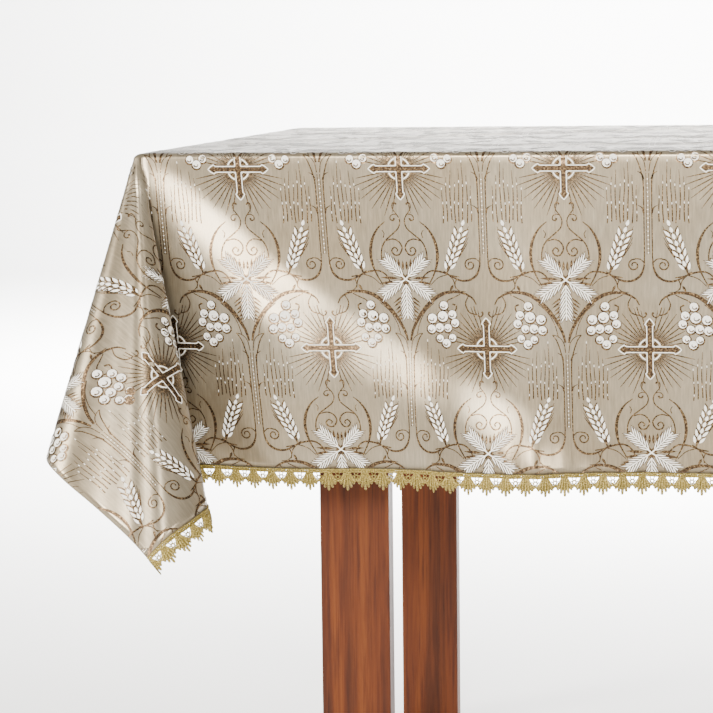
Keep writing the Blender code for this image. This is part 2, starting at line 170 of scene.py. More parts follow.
# Creases and ripples that the plain fall of the cloth lacks, listed one by one. Each is the crest of a soft
# ridge, or of a trough where its height is below nought, through points of the flat cloth: u, v, half the
# width and the height, all in metres.
CRESTS = (
    # the front, from the left corner to the right one
    ((-0.697, -0.535, 0.048, 0.005), (-0.6585, -0.605, 0.078, 0.0110), (-0.589, -0.687, 0.085, 0.0130),
     (-0.505, -0.754, 0.095, 0.0140), (-0.417, -0.798, 0.095, 0.0140), (-0.334, -0.840, 0.095, 0.0140),
     (-0.253, -0.882, 0.090, 0.0130), (-0.217, -0.910, 0.090, 0.0120)),
    ((-0.668, -0.690, 0.050, 0.0040), (-0.640, -0.760, 0.075, 0.0090), (-0.580, -0.810, 0.095, 0.0085),
     (-0.500, -0.860, 0.100, 0.0085), (-0.400, -0.900, 0.090, 0.0080), (-0.300, -0.930, 0.080, 0.0060)),
    ((-0.345, -0.838, 0.010, 0.000), (-0.346, -0.885, 0.016, 0.004)),
    ((-0.262, -0.835, 0.010, 0.000), (-0.261, -0.885, 0.014, 0.003)),
    ((-0.230, -0.825, 0.012, 0.000), (-0.229, -0.885, 0.018, 0.004)),
    ((-0.195, -0.830, 0.010, 0.000), (-0.196, -0.885, 0.015, -0.003)),
    ((-0.138, -0.825, 0.010, 0.000), (-0.137, -0.885, 0.017, 0.004)),
    ((-0.098, -0.838, 0.010, 0.000), (-0.098, -0.885, 0.014, -0.003)),
    ((-0.060, -0.832, 0.010, 0.000), (-0.058, -0.885, 0.016, 0.003)),
    ((0.020, -0.560, 0.080, 0.002), (0.100, -0.700, 0.090, 0.007), (0.200, -0.880, 0.090, 0.008)),
    ((0.190, -0.832, 0.010, 0.000), (0.191, -0.885, 0.017, 0.004)),
    ((0.236, -0.836, 0.010, 0.000), (0.235, -0.885, 0.014, -0.003)),
    ((0.330, -0.560, 0.070, 0.002), (0.400, -0.700, 0.080, 0.007), (0.480, -0.880, 0.090, 0.008)),
    ((0.420, -0.834, 0.010, 0.000), (0.421, -0.885, 0.016, 0.004)),
    # the top, where only ridges can be, for the board is right under it
    ((-0.660, -0.210, 0.030, 0.0010), (-0.400, 0.040, 0.032, 0.0022), (-0.120, 0.277, 0.032, 0.0022),
     (0.060, 0.440, 0.030, 0.0008)),
    ((-0.560, -0.330, 0.024, 0.0008), (-0.100, -0.290, 0.026, 0.0015), (0.450, -0.340, 0.024, 0.0008)),
    ((-0.200, -0.080, 0.024, 0.0008), (0.250, -0.020, 0.028, 0.0016), (0.600, -0.090, 0.024, 0.0008)),
    ((-0.620, 0.180, 0.024, 0.0008), (-0.420, 0.330, 0.026, 0.0014), (-0.300, 0.400, 0.024, 0.0008)),
    ((0.250, 0.160, 0.026, 0.0010), (0.500, 0.300, 0.028, 0.0016), (0.620, 0.400, 0.024, 0.0006)),
    # the back and the two ends
    ((-0.330, 0.560, 0.070, 0.002), (-0.300, 0.700, 0.080, 0.007), (-0.270, 0.880, 0.090, 0.008)),
    ((0.100, 0.560, 0.070, 0.002), (0.040, 0.700, 0.080, 0.007), (0.020, 0.880, 0.090, 0.008)),
    ((0.400, 0.600, 0.050, 0.002), (0.430, 0.880, 0.070, 0.007)),
    ((-0.760, -0.200, 0.050, 0.002), (-0.880, -0.230, 0.060, 0.005), (-1.040, -0.260, 0.070, 0.006)),
    ((-0.760, 0.110, 0.050, 0.002), (-0.900, 0.090, 0.060, 0.005), (-1.040, 0.080, 0.070, 0.006)),
    ((0.760, -0.180, 0.050, 0.002), (0.880, -0.220, 0.060, 0.005), (1.040, -0.240, 0.070, 0.006)),
    ((0.760, 0.130, 0.050, 0.002), (0.900, 0.100, 0.060, 0.005), (1.040, 0.090, 0.070, 0.006)),
)
FLAT_BY_EDGE = 0.045  # the cloth lies smooth this near to the table's edges


def relief(u, v):
    """How far creases lift points of the cloth."""
    height = np.zeros_like(u)
    for crest in CRESTS:
        nearest, width, rise = np.full_like(u, np.inf), np.ones_like(u), np.zeros_like(u)
        for (u0, v0, width0, rise0), (u1, v1, width1, rise1) in zip(crest, crest[1:]):
            along = ((u - u0) * (u1 - u0) + (v - v0) * (v1 - v0)) / ((u1 - u0) ** 2 + (v1 - v0) ** 2)
            along = np.clip(along, 0, 1)
            away = np.hypot(u - u0 - along * (u1 - u0), v - v0 - along * (v1 - v0))
            closer = away < nearest
            nearest = np.where(closer, away, nearest)
            width = np.where(closer, width0 + along * (width1 - width0), width)
            rise = np.where(closer, rise0 + along * (rise1 - rise0), rise)
        height += rise * np.maximum(0.0, 1 - (nearest / width) ** 2) ** 2
    from_edge = np.abs(np.maximum(np.abs(u) - EDGE_X, np.abs(v) - EDGE_Y))
    return height * smooth(from_edge / FLAT_BY_EDGE)


def lay_on_altar(shape):
    """Takes a flat shape, whose points are (u, v, height above the satin), to the draped cloth."""
    flat = np.array([vert.co for vert in shape.verts])
    u, v = flat[:, 0], flat[:, 1]
    step = 0.0005  # over which the cloth's slope is taken
    across = drape(u + step, v) - drape(u - step, v)
    along = drape(u, v + step) - drape(u, v - step)
    normal = np.cross(across, along)
    normal /= np.maximum(np.linalg.norm(normal, axis=1), 1e-12)[:, None]
    laid = drape(u, v) + normal * (SURFACE + relief(u, v) + flat[:, 2])[:, None]
    for vert, place in zip(shape.verts, laid):
        vert.co = place
    shape.normal_update()


def new_piece(name, shape, finish):
    """Makes an object of a finished shape, which rides on the altar's one body."""
    mesh = bpy.data.meshes.new(name)
    shape.to_mesh(mesh)
    shape.free()
    mesh.polygons.foreach_set("use_smooth", [True] * len(mesh.polygons))
    mesh.materials.append(finish)
    piece = bpy.data.objects.new(name, mesh)
    bpy.context.scene.collection.objects.link(piece)
    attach(piece, "root")
    return piece


def linear(hex_colour):
    """An sRGB hex colour as Blender's linear RGBA."""
    parts = [int(hex_colour[i : i + 2], 16) / 255 for i in (0, 2, 4)]
    return tuple(c / 12.92 if c <= 0.04045 else ((c + 0.055) / 1.055) ** 2.4 for c in parts) + (1.0,)


def node(tree, kind, links=(), stops=(), **settings):
    """Adds a node. Settings name its properties or, as in_0 or in_Scale, its sockets, links are pairs of a
    socket here and the socket that feeds it, and stops are a ramp's places and colours."""
    made = tree.nodes.new(kind)
    for key, value in settings.items():
        if key.startswith("in_"):
            name = key[3:].replace("_", " ")
            made.inputs[int(name) if name.isdigit() else name].default_value = value
        else:
            setattr(made, key, value)
    for socket, source in links:
        tree.links.new(source, made.inputs[socket])
    for k, (place, colour) in enumerate(stops):
        points = made.color_ramp.elements
        point = points[k] if k < len(points) else points.new(place)
        point.position, point.color = place, linear(colour)
    return made


def finish_of(name):
    """A new material with its tree and its Principled BSDF."""
    made = bpy.data.materials.new(name)
    made.use_nodes = True
    return made, made.node_tree, made.node_tree.nodes["Principled BSDF"]


# Silk-like satin with a champagne warp and a silver-grey weft: the long floats give a broad, soft gloss
# that runs with the folds, and the figured ground shows fine upright lines. Threads are drawn at 2.4 mm,
# about six times their real spacing, so that they show.
satin, tree, shader = finish_of("champagne figured satin")
uv = node(tree, "ShaderNodeUVMap", uv_map="cloth").outputs["UV"]
stretched = node(tree, "ShaderNodeMapping", [("Vector", uv)], in_Scale=(420, 45, 1)).outputs[0]
warp = node(
    tree, "ShaderNodeTexNoise", [("Vector", stretched)], in_Scale=1.0, in_Detail=4.0, in_Roughness=0.6
)
clouds = node(tree, "ShaderNodeTexNoise", [("Vector", uv)], in_Scale=9.0, in_Detail=3.0)
ground = node(
    tree, "ShaderNodeValToRGB", [("Fac", warp.outputs["Fac"])],
    stops=((0.25, "877D6A"), (0.55, "978C78"), (0.80, "A79C88")),
)
cast = node(
    tree, "ShaderNodeValToRGB", [("Fac", clouds.outputs["Fac"])],
    stops=((0.35, "F4EEE4"), (0.65, "FFFFFF")),
)
tint = node(
    tree, "ShaderNodeMix", data_type="RGBA", blend_type="MULTIPLY", in_0=1.0,
    links=[(6, ground.outputs["Color"]), (7, cast.outputs["Color"])],
)
tree.links.new(tint.outputs[2], shader.inputs["Base Color"])
shader.inputs["Metallic"].default_value = 0.7
gloss = node(
    tree, "ShaderNodeMapRange", [("Value", warp.outputs["Fac"])],
    in_1=0.2, in_2=0.8, in_3=0.27, in_4=0.34,
)
tree.links.new(gloss.outputs["Result"], shader.inputs["Roughness"])
shader.inputs["Sheen Weight"].default_value = 0.15
shader.inputs["Sheen Roughness"].default_value = 0.5
weave = node(
    tree, "ShaderNodeBump", [("Height", warp.outputs["Fac"])], in_Strength=0.1, in_Distance=0.0004
)
tree.links.new(weave.outputs["Normal"], shader.inputs["Normal"])

# The flat cut: a top, four sides and four corner sectors, each a grid, sewn together point on point.
# A row is columns, rows and the way from a grid's own 0 to 1 to the flat cloth.
BEND_ROWS, HANG_ROWS = 6, 46
LONG_COLUMNS, SIDE_COLUMNS = 200, 140
SEEN_CORNER, PLAIN_CORNER = 56, 40


def fall(t, length):
    """Distance down a hanging line whose full length is given, for t from 0 to 1 in even rows."""
    row = t * (BEND_ROWS + HANG_ROWS)
    return np.where(
        row <= BEND_ROWS, ARC * row / BEND_ROWS, ARC + (length - ARC) * (row - BEND_ROWS) / HANG_ROWS
    )


def add_grid(shape, columns, rows, way):
    grid = bmesh.new()
    bmesh.ops.create_grid(grid, x_segments=columns, y_segments=rows, size=0.5)
    place = np.array([vert.co for vert in grid.verts]) + 0.5
    u, v = way(place[:, 0], place[:, 1])
    for vert, a, b in zip(grid.verts, u, v):
        vert.co = (a, b, 0.0)
    grid.normal_update()
    bmesh.ops.reverse_faces(grid, faces=[face for face in grid.faces if face.normal.z < 0])
    mesh = bpy.data.meshes.new("grid")
    grid.to_mesh(mesh)
    shape.from_mesh(mesh)
    bpy.data.meshes.remove(mesh)
    grid.free()


def sector(side, face, low, high):
    """A way over one half of a corner's sector, between two angles in degrees."""
    def way(s, t):
        angle = np.radians(low + (high - low) * s)
        to_front = FRONT_LENGTH / np.maximum(np.cos(angle), 1e-6)
        to_side = SIDE_LENGTH / np.maximum(np.sin(angle), 1e-6)
        away = fall(t, np.minimum(to_front, to_side))
        return side * (EDGE_X + away * np.sin(angle)), face * (EDGE_Y + away * np.cos(angle))
    return way


cut = bmesh.new()
add_grid(cut, LONG_COLUMNS, SIDE_COLUMNS, lambda s, t: (EDGE_X * (2 * s - 1), EDGE_Y * (2 * t - 1)))
tip_angle = math.degrees(math.atan2(SIDE_LENGTH, FRONT_LENGTH))
all_rows = BEND_ROWS + HANG_ROWS
for face in (-1, 1):
    add_grid(
        cut, LONG_COLUMNS, all_rows,
        lambda s, t: (EDGE_X * (2 * s - 1), face * (EDGE_Y + fall(t, FRONT_LENGTH))),
    )
for side in (-1, 1):
    add_grid(
        cut, SIDE_COLUMNS, all_rows,
        lambda s, t: (side * (EDGE_X + fall(t, SIDE_LENGTH)), EDGE_Y * (2 * s - 1)),
    )
    for face in (-1, 1):
        lines = SEEN_CORNER if (side, face) == (-1, -1) else PLAIN_CORNER
        add_grid(cut, lines, all_rows, sector(side, face, 0.0, tip_angle))
        add_grid(cut, lines, all_rows, sector(side, face, tip_angle, 90.0))
bmesh.ops.remove_doubles(cut, verts=cut.verts[:], dist=2e-6)

# The hem: the cut edge is turned back by the cloth's thickness and then in behind it.
hem = [edge for edge in cut.edges if edge.is_boundary]
for inward, height in ((0.0, -CLOTH_WALL), (HEM_TURN, -CLOTH_WALL)):
    turned = bmesh.ops.extrude_edge_only(cut, edges=hem)["geom"]
    hem = [part for part in turned if isinstance(part, bmesh.types.BMEdge)]
    for vert in {vert for edge in hem for vert in edge.verts}:
        vert.co.x = max(inward - U_END, min(U_END - inward, vert.co.x))
        vert.co.y = max(inward - V_END, min(V_END - inward, vert.co.y))
        vert.co.z = height
    hem = [edge for edge in hem if edge.is_boundary]
map_uv = cut.loops.layers.uv.new("cloth")
for face in cut.faces:
    for loop in face.loops:
        loop[map_uv].uv = loop.vert.co.xy
lay_on_altar(cut)
cloth = new_piece("frontal_cloth", cut, satin)
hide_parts("altar_cloth")

# ---- The brocaded figure ----
# Gold-brown metal thread and white silk woven in as extra weft: a cross in rays with grapes beside it,
# scrolls over a vine leaf, ears of wheat and slim trunks, in a half-drop repeat of 193 mm by 422 mm.
# One figure is drawn flat in millimetres, mirrored, repeated, cut at the hems and laid on the cloth.
REPEAT_U, DROP_V = 0.1926, 0.2110  # from one figure to the next across, and half the repeat down
FIRST_U, FIRST_V = -0.5818, -0.5140  # the first cross, at the left of the row along the table's edge
SKEW = 0.020  # how far the threads hang to the side for each metre that they hang down
BELLY_FROM, BELLY_OVER, BELLY = 0.24, 0.11, 0.008  # where the cloth bells out and draws the figure up
GOLD_HEIGHT, WHITE_HEIGHT = 0.00030, 0.00042
HEM_MARGIN = 0.0015  # the figure stops this short of the cloth's edge
FIGURE_ASIDE, FIGURE_DOWN, FIGURE_UP = 0.11, 0.21, 0.03  # beyond these, a cross off the cloth is left out
WEAVE_PARTS = (
    # the rows of figures in one piece: name, and the crosses' lowest and highest v
    ("front", -math.inf, -0.40), ("top", -0.40, 0.30), ("back", 0.30, math.inf),
)
TRUNK = 96.3  # mm from the middle of the cross to the trunk beside it


def through(points, step=3.0):
    """Even points on a smooth curve through a few."""
    points = np.array(points, float)
    ends = np.vstack([2 * points[0] - points[1], points, 2 * points[-1] - points[-2]])
    found = []
    for p, q, r, s in zip(ends, ends[1:], ends[2:], ends[3:]):
        count = max(2, round(float(np.linalg.norm(r - q)) / step))
        t = np.linspace(0, 1, count, endpoint=False)[:, None]
        found.append(
            0.5 * (2 * q + (r - p) * t + (2 * p - 5 * q + 4 * r - s) * t**2
                   + (3 * q - p - 3 * r + s) * t**3)
        )
    return np.vstack([*found, points[-1:]])


def curl(centre, radius, start, turns, steps=12):
    """A spiral that winds in to its centre, from an angle in degrees."""
    t = np.linspace(0, 1, steps + 1)
    angle = np.radians(start) + 2 * math.pi * turns * t
    reach = radius * (1 - 0.72 * t)
    return np.stack([centre[0] + reach * np.cos(angle), centre[1] + reach * np.sin(angle)], axis=1)


def stroke(shape, points, widths, above=0.0):
    """A flat ribbon of thread along points, in mm, with its width at even places along it."""
    points = np.array(points, float)
    slope = np.gradient(points, axis=0)
    slope /= np.maximum(np.linalg.norm(slope, axis=1), 1e-9)[:, None]
    side = np.stack([-slope[:, 1], slope[:, 0]], axis=1)
    share = np.linspace(0, 1, len(points))
    half = np.interp(share, np.linspace(0, 1, len(widths)), widths)[:, None] / 2
    left = [shape.verts.new((x, y, above)) for x, y in points + side * half]
    right = [shape.verts.new((x, y, above)) for x, y in points - side * half]
    for k in range(len(points) - 1):
        shape.faces.new((right[k], right[k + 1], left[k + 1], left[k]))


def petal(shape, foot, angle, length, width):
    """A pointed grain or leaf stroke from its foot, at an angle in degrees from the right."""
    turn = Matrix.Rotation(math.radians(angle), 4, "Z")
    outline = ((0, 0), (0.3, -0.5), (0.65, -0.42), (1, 0), (0.65, 0.42), (0.3, 0.5))
    corners = [turn @ Vector((a * length, b * width, 0)) for a, b in outline]
    shape.faces.new([shape.verts.new((foot[0] + c.x, foot[1] + c.y, 0)) for c in corners])


def disc(shape, centre, radius, segments=10):
    bmesh.ops.create_circle(
        shape, cap_ends=True, segments=segments, radius=radius,
        matrix=Matrix.Translation((centre[0], centre[1], 0)),
    )


gold, white = bmesh.new(), bmesh.new()

# The scrolls beside and below the cross, right half: points in mm from the middle of the cross.
SCROLLS = (
    # points, widths
    (((6.0, -42.0), (7.6, -39.8), (10.2, -40.6), (11.0, -45.0), (9.3, -49.5), (5.4, -54.5), (2.8, -61.0),
      (5.0, -69.5), (13.5, -77.5), (22.0, -85.0), (26.5, -94.0), (27.5, -106.0), (23.5, -117.0)),
     (2.2, 1.2, 1.4, 1.7, 1.6, 1.5)),
    (((5.4, -54.5), (9.5, -53.2), (13.6, -55.6), (13.8, -59.6), (10.4, -60.6), (9.2, -57.8)),
     (1.0, 1.4, 2.4)),
    (((21, -62), (30, -70), (37, -82), (40.3, -96), (39.6, -110), (35.5, -123), (28.0, -137)),
     (1.0, 2.4, 3.6, 3.6, 2.0, 1.2)),
    (((20.5, -84.5), (12.5, -82.5), (5.5, -85.5), (1.8, -93.0), (6.0, -101.0), (12.0, -101.0),
      (14.6, -96.0), (11.0, -92.2), (7.4, -95.2), (9.0, -97.6)), (1.4, 1.7, 1.9, 1.5)),
    (((25, -72), (22.5, -76), (24, -81)), (0.8, 1.2)),
    (((66, -127), (55, -125), (44, -121), (32, -120), (23.5, -125), (19, -133)), (1.4, 2.2, 1.6)),
    (((61, -141), (58, -130), (49, -121)), (1.2, 1.6)),
    (((30, -137), (40, -128), (52, -124)), (0.8, 1.3)),
    (((85, -159), (80.5, -151.5), (69, -145.5), (56, -144.5), (42, -148), (28, -158), (15, -173),
      (5.5, -190), (1.8, -203)), (1.4, 3.0, 4.6, 4.8, 3.8, 2.4)),
    (((82, -161), (84.5, -170), (89.5, -173.5), (93, -170), (91.4, -167.4)), (1.2, 1.5, 2.4)),
    (((76, -149), (72, -158), (76, -168), (84.5, -171)), (1.0, 1.8, 1.4)),
    (((66, -147), (58, -151), (50, -155), (47.5, -162.5), (52, -168.5), (59, -167), (60.5, -161),
      (56, -158.8)), (1.1, 1.5, 2.0)),
    (((33, -158), (22, -168), (14, -182), (10, -197)), (1.0, 1.0)),
    (((96.3, -199), (90, -190), (85, -187)), (2.6, 0.6)),
)
for points, widths in SCROLLS:
    stroke(gold, through(points), widths)

# Rays of the cross, each a little longer or shorter than the next, and short ones between their roots.
RAYS, RAY_SPREAD = 9, 66  # long rays between two arms of the cross, and the degrees from first to last
for low, reach in ((12, 50), (-78, 56)):
    for k in range(2 * RAYS - 1):
        angle = math.radians(low + RAY_SPREAD * k / (2 * RAYS - 2))
        if k % 2:
            start, end, widths = 14.0, 27.0, (1.2, 0.8, 0.4)
        else:
            start, end, widths = 15.0, reach + (2.5 if k % 4 else -3.0), (0.9, 1.5, 1.3, 0.5)
        way = np.array([math.cos(angle), math.sin(angle)])
        stroke(gold, [way * r for r in np.linspace(start, end, 6)], widths)

# Grapes: white discs, each with a dark rim below it and a dark thread that curls in to its middle.
GRAPES = (
    # x, y, radius from the middle of the cross
    (51.0, 50.5, 5.0), (66.0, 35.0, 5.6), (53.0, 37.5, 6.3), (41.0, 40.0, 5.0), (38.0, 30.0, 4.9),
    (67.5, 22.5, 5.0), (57.5, 24.2, 5.2), (47.2, 24.0, 4.7), (57.5, 11.5, 4.4), (42.0, 12.5, 4.5),
    (49.8, 6.0, 5.0),
)
for x, y, radius in GRAPES:
    disc(gold, (x + 0.5, y - 0.7), radius + 1.5)
    disc(white, (x, y), radius)
    stroke(gold, curl((x, y - 0.2), radius * 0.72, -10, -0.55, 7), (1.9, 1.3, 0.6), above=0.3)

# Ear of wheat: grains in two side rows and a middle one along a leaning stalk, each over a darker husk,
# awns that rise above them with short white stitches, and long husks along the ear's outer side.
GRAIN_ROWS = 7
ear_foot, ear_top = np.array([52.5, -119.0]), np.array([73.5, -62.0])
lean = math.degrees(math.atan2(*(ear_top - ear_foot)[::-1]))
side = np.array([math.sin(math.radians(lean)), -math.cos(math.radians(lean))])
stroke(gold, [ear_foot + (ear_top - ear_foot) * t for t in np.linspace(-0.1, 0.95, 9)], (1.6, 4.5, 2.5))
for k in range(GRAIN_ROWS):
    for hand, lag in ((-1, 0.0), (1, 0.25), (0, 0.65)):
        if k == GRAIN_ROWS - 1 and hand:
            continue
        foot = ear_foot + (ear_top - ear_foot) * ((k + lag) / 7.3)
        foot = foot + side * hand * (2.2 + 0.5 * min(k, 3))
        turn = lean - hand * 27
        if hand:
            petal(gold, foot - side * hand * 0.8, turn, 12.5, 5.6)
            petal(white, foot, turn, 10.3, 3.3)
        else:
            petal(white, foot, turn, 7.8, 3.9)
for k in range(4):
    outer = side * (7.5 + 2.2 * k)
    points = [
        ear_foot + (ear_top - ear_foot) * t + outer * (1 - (1 - t) ** 2)
        for t in (0.0, 0.3, 0.6, 0.95 - 0.1 * k)
    ]
    stroke(gold, through(points), (0.6, 1.8, 0.5))
AWNS = (
    # x at the ear, x and y at the tip
    (49.5, 50.0, -22), (54.0, 55.5, -10), (59.5, 60.0, -4), (64.5, 64.5, -14), (69.0, 69.5, 0),
    (73.5, 74.0, 6), (78.5, 79.5, -6), (83.0, 84.0, -20),
)
for k, (low_x, high_x, high_y) in enumerate(AWNS):
    line = np.array([
        (low_x + (high_x - low_x) * t + 0.7 * math.sin(5 * t + k),
         -64 + 2 * (k % 3) + (high_y + 62) * t)
        for t in np.linspace(0, 1, 13)
    ])
    stroke(gold, line, (1.4, 1.2, 0.5))
    for x, y in line[2 + 3 * k % 5 :: 5]:
        petal(white, (x, y - 1.2), 90, 3.4, 0.9)

# C-scroll from the trunk's foot to the ear's, right of the cross.
FOOT = TRUNK - 4.8
stroke(
    gold,
    through(((FOOT, -104), (FOOT - 0.6, -114), (87, -124), (79, -130), (68, -131), (58, -127), (47, -120))),
    (1.3, 2.8, 2.4, 1.2),
)
branch = through(((FOOT, -110), (87, -105.5), (81, -105)))
stroke(gold, np.vstack([branch, curl((79.5, -112.5), 7.2, 80, 1.35, 16)]), (1.2, 1.8, 1.4))
stroke(gold, through(((62, -130), (60, -137), (65, -143), (73, -144))), (1.4, 0.8))
petal(gold, (58, -136), 240, 9, 3.2)

# Vine leaf: five lobes of white feather stitches over dark ones, and brown stitches in between. The lobe
# that hangs down lies on the mirror's line, so only its right half is drawn here, without its vein.
LEAF = np.array([0.0, -130.0])
STITCH_SPREAD = 30  # degrees between a stitch and the vein it stands on
LOBES = (
    # angle, length, stitches
    (45, 35, 6), (-33, 36, 6), (-90, 47, 8),
)
for angle, length, stitches in LOBES:
    way = np.array([math.cos(math.radians(angle)), math.sin(math.radians(angle))])
    hands = (-1, 1) if angle > -90 else (1,)
    if angle > -90:
        stroke(gold, [LEAF + way * r for r in np.linspace(2, length + 2, 8)], (6.0, 7.0, 5.0, 1.8))
        stroke(white, [LEAF + way * r for r in np.linspace(8, length, 8)], (1.2, 1.4), above=0.05)
    for k in range(stitches):
        foot = LEAF + way * (length * (0.12 + 0.80 * k / stitches))
        reach = 10.5 + 6.5 * math.sin(math.pi * (k + 1.0) / (stitches + 1.2))
        for hand in hands:
            petal(gold, foot, angle + hand * STITCH_SPREAD, reach + 1.8, 3.4)
            petal(white, foot, angle + hand * STITCH_SPREAD, reach, 1.45)
for k in range(5):
    petal(gold, (2.2 + 4.4 * k, -119.5 + 2.2 * k), 90 - 4 * k, 12.0, 2.9)
for k, (x, y, length) in enumerate(((8.5, -129.0, 22.0), (11.5, -133.0, 21.0), (16.0, -137.5, 17.0))):
    petal(gold, (x, y), 3 - 9 * k, length, 3.4)
for k in range(6):
    petal(gold, (5.5 + 0.8 * (k % 2), -150.0 - 5.0 * k), -38, 15.0 - 1.6 * k, 2.2)

for thread in (gold, white):
    half = thread.verts[:] + thread.edges[:] + thread.faces[:]
    other = bmesh.ops.duplicate(thread, geom=half)["geom"]
    mirrored = [part for part in other if isinstance(part, bmesh.types.BMVert)]
    bmesh.ops.scale(thread, vec=(-1, 1, 1), verts=mirrored)
    bmesh.ops.reverse_faces(thread, faces=[p for p in other if isinstance(p, bmesh.types.BMFace)])

# The leaf's middle vein, and the knot that its veins cross in.
stroke(gold, [LEAF - (0, r) for r in np.linspace(-3, 48, 9)], (2.0, 7.0, 5.5, 1.8))
stroke(white, [LEAF - (0, r) for r in np.linspace(6, 47, 8)], (1.2, 1.5), above=0.05)
for angle in (45, 135, -33, -147):
    way = np.array([math.cos(math.radians(angle)), math.sin(math.radians(angle))])
    stroke(white, [LEAF + way * r for r in np.linspace(0, 8, 4)], (1.6, 1.2), above=0.08)

# The cross: brown bars with pointed ends in a white outline, over a ring that is dark within.
BAR, TIP = 2.9, 35.0  # half the width of a bar, and its length


def arc(radius, first, last, count):
    """Points on a circle round the middle of the cross, between two angles in degrees."""
    return [(radius * math.cos(a), radius * math.sin(a)) for a in np.radians(np.linspace(first, last, count))]


for turn in range(4):
    rotate = Matrix.Rotation(math.radians(90 * turn), 2)

    def spin(points):
        return [tuple(rotate @ Vector(point)) for point in points]

    stroke(
        gold, spin([(0, BAR), (0, 12), (0, 22), (0, 27.8), (0, 30), (0, TIP)]),
        (2 * BAR, 2 * BAR, 2 * BAR, 2 * BAR, 7.4, 0.8),
    )
    stroke(gold, spin(arc(9.4, 30, 60, 5)), (4.2, 4.2))
    stroke(white, spin(arc(12.8, 22, 68, 7)), (1.4, 1.4))
    stroke(white, spin(arc(6.6, 44, 46, 2)), (1.2, 1.2))
    for hand in (-1, 1):
        x = hand * (BAR + 0.5)
        stroke(white, spin([(x, BAR + 0.6), (x, 14), (x, 22), (x, 27.4)]), (1.0, 1.0))
        point = [(x, 27.2), (hand * 5.4, 29.4), (hand * 3.2, 33.2), (0, 36.6)]
        stroke(white, spin(point), (1.0, 1.2, 1.0))
stroke(gold, [(0, -BAR), (0, BAR)], (2 * BAR, 2 * BAR))

# The trunk between two figures: two stems with thorns under an open capital, and a row of white dots
# down its middle.
STEM = through(((17, 17), (12.5, 11), (9, 2), (6, -9), (4.8, -18), (4.6, -50), (4.6, -104)), 6)
CAPITAL = through(((17, 17), (10, 15), (4, 8), (1.8, -4)))
THORN = through(((4.6, -6), (6.5, 0), (11.5, 3)), 4)
for side in (-1, 1):
    stroke(gold, [(TRUNK + side * x, y) for x, y in STEM], (1.2, 1.6, 1.3, 1.3))
    stroke(gold, [(TRUNK + side * x, y) for x, y in CAPITAL], (1.0, 1.0))
    stroke(gold, [(TRUNK + side * 1.6, y) for y in np.linspace(-6, -100, 18)], (0.8, 0.8))
    for y in (-7, -46):
        stroke(gold, [(TRUNK + side * x, y + b) for x, b in THORN], (2.4, 0.6))
for y in range(-98, -8, 5):
    disc(white, (TRUNK, y), 0.8, 4)


def weave_in(unit, name, height, finish):
    """Repeats a figure over the flat cloth, cuts it at the hems and lays it on the altar, in three parts."""
    figure = bpy.data.meshes.new("figure")
    bmesh.ops.scale(unit, vec=(0.001, 0.001, 0.001), verts=unit.verts)
    unit.normal_update()
    bmesh.ops.reverse_faces(unit, faces=[face for face in unit.faces if face.normal.z < 0])
    unit.to_mesh(figure)
    unit.free()
    made = []
    for part, low, high in WEAVE_PARTS:
        flat = bmesh.new()
        for row in range(-3, 8):
            for column in range(-4, 10):
                u = FIRST_U + (column + 0.5 * (row % 2)) * REPEAT_U
                v = FIRST_V + row * DROP_V
                if abs(u) > U_END + FIGURE_ASIDE or not -V_END - FIGURE_UP <= v <= V_END + FIGURE_DOWN:
                    continue
                if not low <= v < high:
                    continue
                start = len(flat.verts)
                flat.from_mesh(figure)
                flat.verts.ensure_lookup_table()
                bmesh.ops.translate(flat, vec=(u, v, height), verts=flat.verts[start:])
        for vert in flat.verts:
            hang = max(0.0, abs(vert.co.y) - EDGE_Y)
            drawn_up = BELLY * float(smooth((hang - BELLY_FROM) / BELLY_OVER))
            vert.co.x += SKEW * hang
            vert.co.y += math.copysign(drawn_up, -vert.co.y)
        for axis, end in ((0, U_END), (1, V_END)):
            for sign in (-1, 1):
                way = Vector((sign, 0, 0)) if axis == 0 else Vector((0, sign, 0))
                bmesh.ops.bisect_plane(
                    flat, geom=flat.verts[:] + flat.edges[:] + flat.faces[:], clear_outer=True,
                    plane_co=way * (end - HEM_MARGIN), plane_no=way,
                )
        layer = flat.loops.layers.uv.new("cloth")
        for face in flat.faces:
            for loop in face.loops:
                loop[layer].uv = loop.vert.co.xy
        lay_on_altar(flat)
        made.append(new_piece(f"{name}_{part}", flat, finish))
    bpy.data.meshes.remove(figure)
    return made


# Brown-gold metal thread: a dark core wound with gilt strip, which turns pale gold where the light strikes.
# Its colour goes in specks from the dark core to the gilt, with painted glints in the palest of them. Its
# twist is drawn at 2.6 mm, so that it shows.
gilt, tree, shader = finish_of("brown-gold metal thread")
uv = node(tree, "ShaderNodeUVMap", uv_map="cloth").outputs["UV"]
twist = node(
    tree, "ShaderNodeTexNoise", [("Vector", uv)], in_Scale=380.0, in_Detail=2.0, in_Roughness=0.7
)
# The specks: dark brown core and brown-gold strip, with painted glints in the palest stop.
specks_and_painted_glints = node(
    tree, "ShaderNodeValToRGB", [("Fac", twist.outputs["Fac"])],
    stops=((0.34, "2A2018"), (0.50, "4E3E2D"), (0.62, "786146"), (0.74, "C6A578")),
)
tree.links.new(specks_and_painted_glints.outputs["Color"], shader.inputs["Base Color"])
shader.inputs["Metallic"].default_value = 0.85
shader.inputs["Roughness"].default_value = 0.33
wound = node(
    tree, "ShaderNodeBump", [("Height", twist.outputs["Fac"])], in_Strength=0.2, in_Distance=0.0004
)
tree.links.new(wound.outputs["Normal"], shader.inputs["Normal"])

